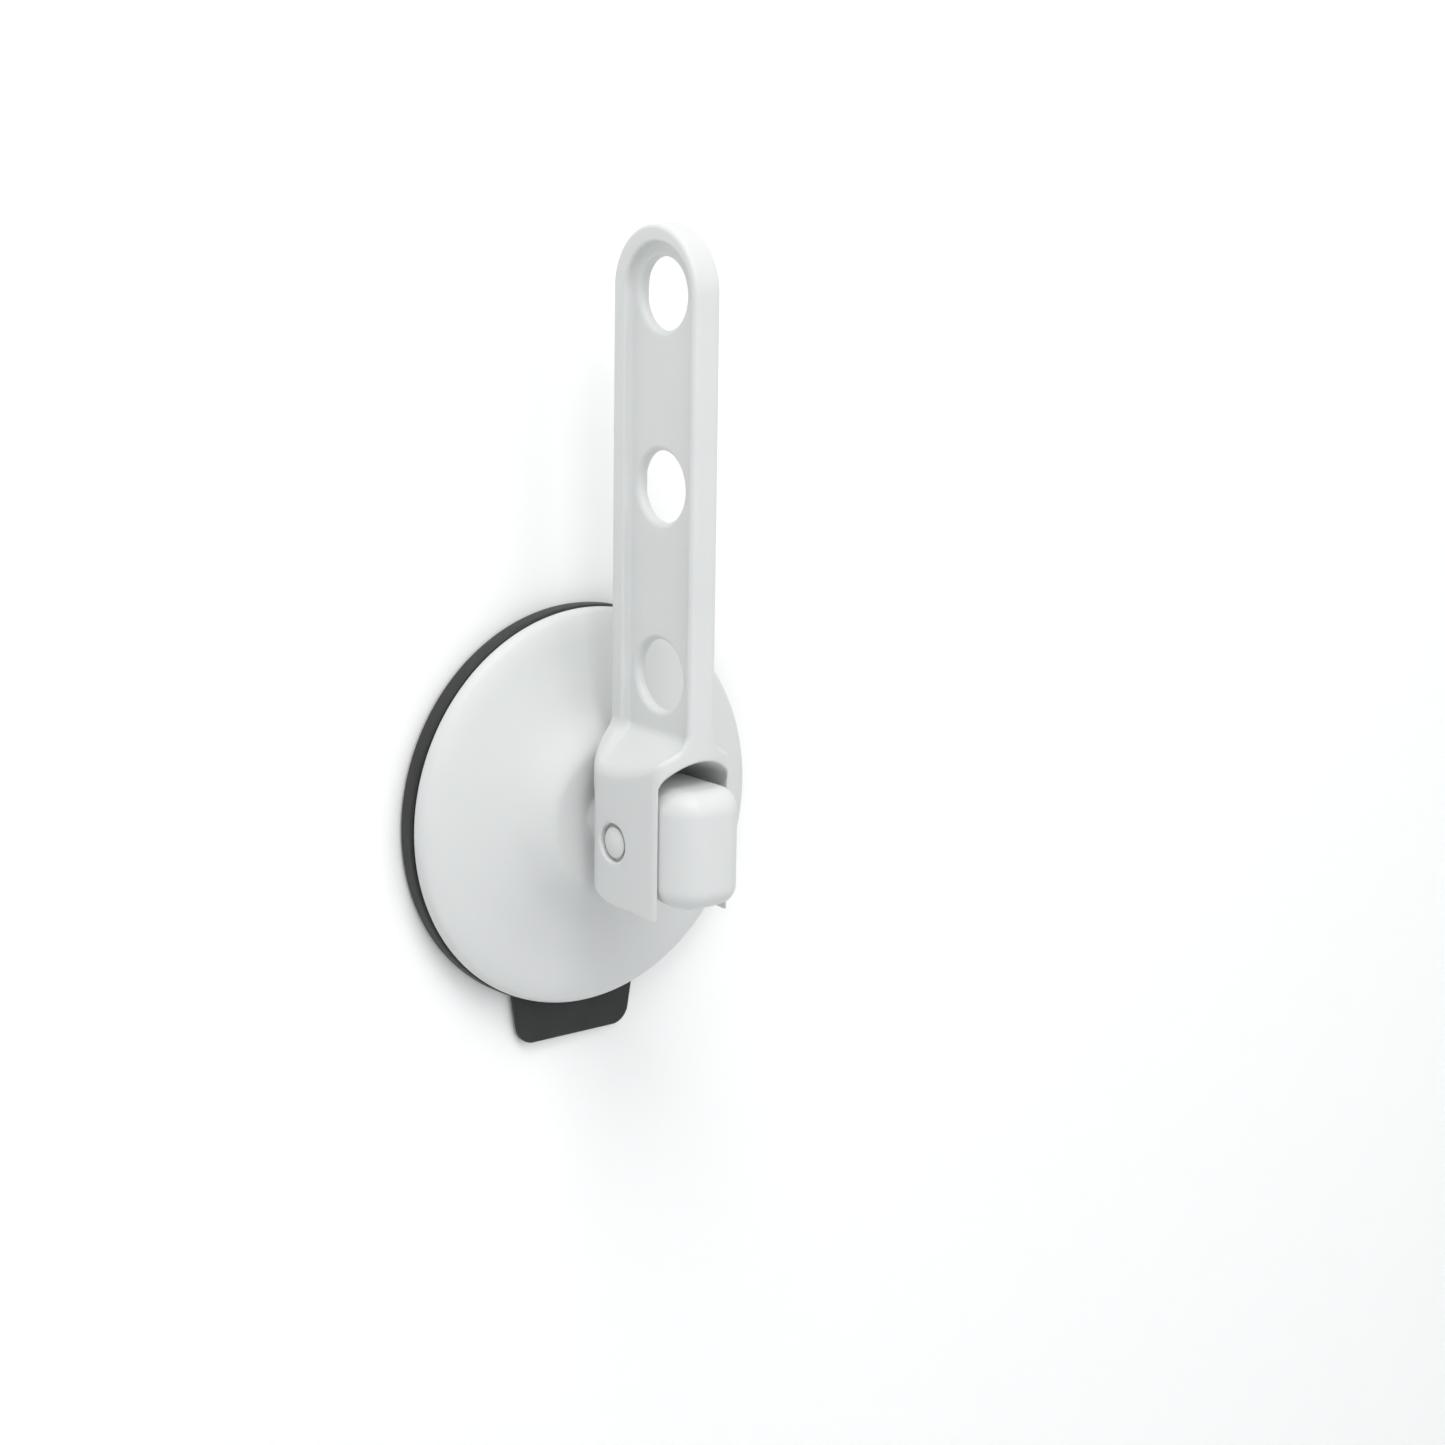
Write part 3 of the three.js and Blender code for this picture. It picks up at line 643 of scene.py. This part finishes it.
def tab_field(x, out, z):
    drop = (TAB_TOP - z) / (TAB_TOP - TAB_BOTTOM)
    half = mix(TAB_ROOT_HALF, TAB_END_HALF, drop)
    outline = both(np.abs(x) - half, TAB_BOTTOM - z, 4.5)
    flat = both(TAB_OUT[0] - out, out - TAB_OUT[1])
    return both(both(outline, flat, 0.5), z - TAB_TOP)


def pull_tab():
    lines = (spacing((-22.5, 22.5, 0.5)), spacing((-0.2, 2.8, 0.25)), spacing((-67, -47.2, 0.5)))
    return mesh_object("tab", *skin(tab_field, lines))


def suction_pad():
    """The disc and its pull tab, joined into one closed body."""
    disc, tab = pad_skirt(), pull_tab()
    joined = disc.modifiers.new("tab", "BOOLEAN")
    joined.operation, joined.solver, joined.object = "UNION", "MANIFOLD", tab
    bpy.context.view_layer.update()
    result = disc.evaluated_get(bpy.context.evaluated_depsgraph_get())
    disc.data = bpy.data.meshes.new_from_object(result)
    disc.modifiers.clear()
    bpy.data.objects.remove(tab)
    disc.data.shade_smooth()
    return disc


def stem_bolt():
    """A round head inside the pad, a shank through the shell, and a thinner tail in the crosshead."""
    profile = [
        (0, STEM_HEAD_OUT[0]),
        (STEM_HEAD_R, STEM_HEAD_OUT[0]),
        (STEM_HEAD_R, STEM_HEAD_OUT[1]),
        (STEM_R, STEM_HEAD_OUT[1]),
        (STEM_R, STEM_SHOULDER_OUT),
        (STEM_TAIL_R, STEM_SHOULDER_OUT),
        (STEM_TAIL_R, STEM_TAIL_OUT),
        (0, STEM_TAIL_OUT),
    ]
    return lathe("stem_rod", eased(profile, 0.3), SMALL_STEPS)


def plain_ring(name, inner, outer, start, end, ease, turned=about_disc):
    profile = [(inner, start), (outer, start), (outer, end), (inner, end)]
    return lathe(name, eased(profile, ease), SMALL_STEPS, turned)


def spring_seat():
    return plain_ring("seat_washer", STEM_R + GAP, WASHER_R, *WASHER_OUT, 0.25)


def spacer(name, side):
    near, far = sorted((side * (CROSSHEAD_HALF + GAP), side * SPACER_FAR))
    return plain_ring(name, PIN_R + GAP, SPACER_R, near, far, 0.3, about_pin)


def guide_bush():
    profile = [
        (STEM_R + GAP, BUSH_FLANGE_OUT[0]),
        (BUSH_FLANGE_R, BUSH_FLANGE_OUT[0]),
        (BUSH_FLANGE_R, BUSH_FLANGE_OUT[1]),
        (BUSH_R, BUSH_FLANGE_OUT[1]),
        (BUSH_R, COLLAR_OUT),
        (STEM_R + GAP, COLLAR_OUT),
    ]
    return lathe("bush", eased(profile, 0.3), SMALL_STEPS)


def return_spring():
    start = COIL_OUT[0] + COIL_WIRE
    length = COIL_OUT[1] - COIL_WIRE - start
    return coil("return_coil", about_disc, COIL_R, COIL_WIRE, COIL_TURNS, start, length)


def trigger_spring():
    reach = (TORSION_TURNS, TORSION_X, TORSION_LENGTH, TORSION_PHASE)
    return coil("torsion_coil", about_pin, TORSION_R, TORSION_WIRE, *reach)


def pivot_pin():
    end, well = PIN_HALF, PIN_HALF - PIN_WELL
    left = [(0, -well), (PIN_WELL_R, -well), (PIN_WELL_R, -end), (PIN_R, -end)]
    right = [(PIN_R, end), (PIN_WELL_R, end), (PIN_WELL_R, well), (0, well)]
    return lathe("pivot_rod", eased(left + right, 0.25), SMALL_STEPS, about_pin)


def roll_pin():
    half = CROSSHEAD_HALF
    profile = [(0, -half), (ROLL_PIN_R, -half), (ROLL_PIN_R, half), (0, half)]
    return lathe("cross_pin", eased(profile, 0.2), 32, about_roll_pin)


def pin_cap(name, side):
    """A domed button with a stub that presses into the end of the pin."""
    base, tip = PIN_HALF + GAP, PIN_HALF - PIN_WELL + GAP
    stub = [(0, tip), (CAP_STUB_R, tip), (CAP_STUB_R, base), (CAP_R, base)]
    dome = [(CAP_R * t, base + CAP_HIGH - CAP_CROWN * t * t) for t in np.linspace(1, 0, 14)]
    profile = [(radius, side * along) for radius, along in stub + dome]
    return lathe(name, profile[::side], SMALL_STEPS, about_pin)


def crosshead_field(x, out, z):
    """A neck that takes the end of the stem, run into an eye round the pivot pin."""
    width = np.abs(x) - CROSSHEAD_HALF
    neck = both(both(width, np.abs(z) - NECK_HALF, 0.8), NECK_OUT - out, 0.5)
    neck = both(neck, out - PIN_OUT)
    away = pin_distance(out, z)
    eye = both(away - CROSSHEAD_R, width, 0.6)
    body = both(either(neck, eye, 1.2), width, 0.5)
    socket = both(hypot(x, z) - STEM_TAIL_R - GAP, out - STEM_TAIL_OUT - GAP)
    body = without(without(body, socket, 0.2), away - PIN_BORE_R, 0.2)
    return without(body, hypot(out - ROLL_PIN_OUT, z) - ROLL_PIN_R - GAP, 0.1)


def crosshead():
    lines = (spacing((-5, 5, 0.25)), spacing((23.5, 43, 0.25)), spacing((-10, 5.2, 0.25)))
    return mesh_object("crosshead_casting", *skin(crosshead_field, lines))


# ---- materials ----
def new_material(name, colour, roughness, **sockets):
    """A principled material whose uniform numbers sit on the shader's own sockets."""
    material = bpy.data.materials.new(name)
    material.use_nodes = True
    shader = material.node_tree.nodes["Principled BSDF"]
    shader.inputs["Base Color"].default_value = (*colour, 1)
    shader.inputs["Roughness"].default_value = roughness
    for socket, value in sockets.items():
        shader.inputs[socket.replace("_", " ")].default_value = value
    return material


def add_noise(material, scale, detail=3):
    nodes, links = material.node_tree.nodes, material.node_tree.links
    place = nodes.new("ShaderNodeTexCoord")
    noise = nodes.new("ShaderNodeTexNoise")
    noise.inputs["Scale"].default_value = scale
    noise.inputs["Detail"].default_value = detail
    links.new(place.outputs["Object"], noise.inputs["Vector"])
    return noise.outputs["Fac"]


def add_range(material, source, low, high):
    node = material.node_tree.nodes.new("ShaderNodeMapRange")
    node.inputs["To Min"].default_value = low
    node.inputs["To Max"].default_value = high
    material.node_tree.links.new(source, node.inputs["Value"])
    return node.outputs["Result"]


def add_tint(material, source, low, high):
    """The base colour moves between two colours with the source."""
    ramp_node = material.node_tree.nodes.new("ShaderNodeValToRGB")
    ends = ramp_node.color_ramp.elements
    ends[0].position, ends[0].color = 0.3, (*low, 1)
    ends[1].position, ends[1].color = 0.7, (*high, 1)
    material.node_tree.links.new(source, ramp_node.inputs["Fac"])
    shader = material.node_tree.nodes["Principled BSDF"]
    material.node_tree.links.new(ramp_node.outputs["Color"], shader.inputs["Base Color"])


def add_bump(material, source, height, strength):
    node = material.node_tree.nodes.new("ShaderNodeBump")
    node.inputs["Distance"].default_value = height
    node.inputs["Strength"].default_value = strength
    material.node_tree.links.new(source, node.inputs["Height"])
    shader = material.node_tree.nodes["Principled BSDF"]
    material.node_tree.links.new(node.outputs["Normal"], shader.inputs["Normal"])


def moulded_plastic(name, low, high, roughness):
    """Satin moulded plastic: a fine spark-eroded grain, and patches a little glossier than others."""
    material = new_material(name, high, roughness, Specular_IOR_Level=0.45)
    add_tint(material, add_noise(material, 35, 2), low, high)
    shader = material.node_tree.nodes["Principled BSDF"]
    patches = add_range(material, add_noise(material, 120, 4), roughness - 0.05, roughness + 0.05)
    material.node_tree.links.new(patches, shader.inputs["Roughness"])
    add_bump(material, add_noise(material, 2600, 2), 0.00002, 0.35)
    return material


def dark_rubber():
    low, high = (0.018, 0.0185, 0.0195), (0.026, 0.0265, 0.0275)
    material = new_material("dark_rubber", high, 0.6, Specular_IOR_Level=0.4, Sheen_Weight=0.05)
    add_tint(material, add_noise(material, 60, 5), low, high)
    shader = material.node_tree.nodes["Principled BSDF"]
    worn = add_range(material, add_noise(material, 180, 5), 0.5, 0.68)
    material.node_tree.links.new(worn, shader.inputs["Roughness"])
    add_bump(material, add_noise(material, 1800, 4), 0.00005, 0.5)
    return material


def turned_metal(name, low, high, roughness):
    """Metal with fine streaks left by turning or drawing."""
    material = new_material(name, high, roughness, Metallic=1.0, Anisotropic=0.3)
    add_tint(material, add_noise(material, 220, 4), low, high)
    shader = material.node_tree.nodes["Principled BSDF"]
    streaks = add_range(material, add_noise(material, 900, 5), roughness - 0.06, roughness + 0.1)
    material.node_tree.links.new(streaks, shader.inputs["Roughness"])
    add_bump(material, add_noise(material, 3000, 3), 0.00001, 0.3)
    return material


def paint(piece, material):
    piece.data.materials.clear()
    piece.data.materials.append(material)


# ---- stage, light and camera ----
def backdrop():
    """A white wall seen only from its front, open behind the pad, and a pale floor below."""
    reach, steps = STAGE_REACH, WALL_STEPS
    corners = []
    for radius in (PAD_R - 5, reach):
        for i in range(steps):
            angle = 2 * math.pi * i / steps
            corners.append((radius * math.cos(angle), -WALL_BEHIND, radius * math.sin(angle)))
    faces = [(i, steps + i, steps + (i + 1) % steps, (i + 1) % steps) for i in range(steps)]
    wall = mesh_object("wall", np.array(corners), faces)
    square = [(-reach, -reach), (reach, -reach), (reach, reach), (-reach, reach)]
    floor_points = np.array([(x, out, -FLOOR_DROP) for x, out in square])
    floor = mesh_object("floor", floor_points, [(3, 2, 1, 0)])
    paint(floor, new_material("pale_floor", (0.66, 0.665, 0.67), 0.7))
    paint(wall, one_sided_white())


def one_sided_white():
    """White towards the room and clear from behind, so that the back of the object can be seen."""
    material = new_material("white_wall", (0.95, 0.95, 0.95), 0.9, Specular_IOR_Level=0.1)
    nodes, links = material.node_tree.nodes, material.node_tree.links
    side = nodes.new("ShaderNodeNewGeometry")
    clear = nodes.new("ShaderNodeBsdfTransparent")
    blend = nodes.new("ShaderNodeMixShader")
    links.new(side.outputs["Backfacing"], blend.inputs["Fac"])
    links.new(nodes["Principled BSDF"].outputs["BSDF"], blend.inputs[1])
    links.new(clear.outputs["BSDF"], blend.inputs[2])
    links.new(blend.outputs["Shader"], nodes["Material Output"].inputs["Surface"])
    return material


def softbox(name, place, size, power):
    data = bpy.data.lights.new(name, "AREA")
    data.shape = "DISK"
    data.size = size
    data.energy = power
    light = bpy.data.objects.new(name, data)
    light.location = place
    aim = Vector(LIGHT_AIM) - Vector(place)
    light.rotation_euler = aim.to_track_quat("-Z", "Y").to_euler()
    bpy.context.scene.collection.objects.link(light)


def lighting():
    world = bpy.data.worlds.new("studio")
    world.use_nodes = True
    sky = world.node_tree.nodes["Background"]
    sky.inputs["Color"].default_value = WORLD_COLOUR
    sky.inputs["Strength"].default_value = WORLD_STRENGTH
    bpy.context.scene.world = world
    bpy.context.scene.view_settings.view_transform = "Standard"
    for light in LIGHTS:
        softbox(*light)


def camera():
    turn, tilt, roll = CAMERA_TURN, CAMERA_TILT, CAMERA_ROLL
    forward = Vector(
        (-math.sin(turn) * math.cos(tilt), math.cos(turn) * math.cos(tilt), -math.sin(tilt))
    )
    level = Vector((math.cos(turn), math.sin(turn), 0))
    upright = level.cross(forward)
    right = math.cos(roll) * level + math.sin(roll) * upright
    up = -math.sin(roll) * level + math.cos(roll) * upright
    data = bpy.data.cameras.new("camera")
    data.lens = CAMERA_LENS
    data.sensor_width = 36
    seer = bpy.data.objects.new("camera", data)
    seer.matrix_world = Matrix((right, up, -forward)).transposed().to_4x4()
    seer.location = CAMERA_PLACE
    bpy.context.scene.collection.objects.link(seer)
    bpy.context.scene.camera = seer


# ---- assembly ----
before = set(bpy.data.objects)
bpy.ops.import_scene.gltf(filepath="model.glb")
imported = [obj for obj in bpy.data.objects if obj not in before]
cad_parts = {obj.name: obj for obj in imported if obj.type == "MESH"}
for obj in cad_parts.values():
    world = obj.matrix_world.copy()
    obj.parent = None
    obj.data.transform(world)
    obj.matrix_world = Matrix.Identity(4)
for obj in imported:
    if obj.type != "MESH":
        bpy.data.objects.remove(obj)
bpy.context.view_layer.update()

white = moulded_plastic("white_plastic", (0.635, 0.65, 0.645), (0.65, 0.665, 0.66), 0.5)
grey = moulded_plastic("grey_plastic", (0.66, 0.675, 0.67), (0.68, 0.695, 0.69), 0.35)
rubber = dark_rubber()
steel = turned_metal("plated_steel", (0.56, 0.57, 0.58), (0.66, 0.67, 0.68), 0.26)
spring_wire = turned_metal("spring_steel", (0.42, 0.42, 0.43), (0.52, 0.52, 0.53), 0.3)
zinc = turned_metal("zinc", (0.4, 0.41, 0.42), (0.5, 0.51, 0.52), 0.42)
acetal = moulded_plastic("acetal", (0.82, 0.81, 0.77), (0.86, 0.85, 0.81), 0.36)

return_coil = return_spring()
torsion_coil = trigger_spring()
rebuilt = (
    (arm(), "arm", "arm", "white_plastic", white),
    (trigger(), "trigger", "trigger", "white_plastic", white),
    (cover_shell(), "base", "cover_shell", "white_plastic", white),
    (suction_pad(), "base", "suction_pad", "pad_rubber", rubber),
    (pad_boss(), "stem", "suction_pad", "pad_rubber", rubber),
    (guide_bush(), "base", "guide_bush", "acetal", acetal),
    (return_coil, "base", "return_spring", "spring_steel", spring_wire),
    (stem_bolt(), "stem", "stem_bolt", "plated_steel", steel),
    (spring_seat(), "stem", "spring_seat", "plated_steel", steel),
    (crosshead(), "stem", "crosshead", "zinc", zinc),
    (roll_pin(), "stem", "roll_pin", "spring_steel", spring_wire),
    (pivot_pin(), "stem", "pivot_pin", "plated_steel", steel),
    (pin_cap("left_cap", -1), "stem", "pin_cap_left", "grey_plastic", grey),
    (pin_cap("right_cap", 1), "stem", "pin_cap_right", "grey_plastic", grey),
    (spacer("left_spacer", -1), "stem", "spacer_left", "acetal", acetal),
    (spacer("right_spacer", 1), "stem", "spacer_right", "acetal", acetal),
    (torsion_coil, "trigger", "trigger_spring", "spring_steel", spring_wire),
)
for piece, body, node, slot, material in rebuilt:
    paint(piece, material)
    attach(piece, body)
    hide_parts(node)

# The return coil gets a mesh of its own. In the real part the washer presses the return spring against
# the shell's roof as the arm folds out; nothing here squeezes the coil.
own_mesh(return_coil)

backdrop()
lighting()
camera()
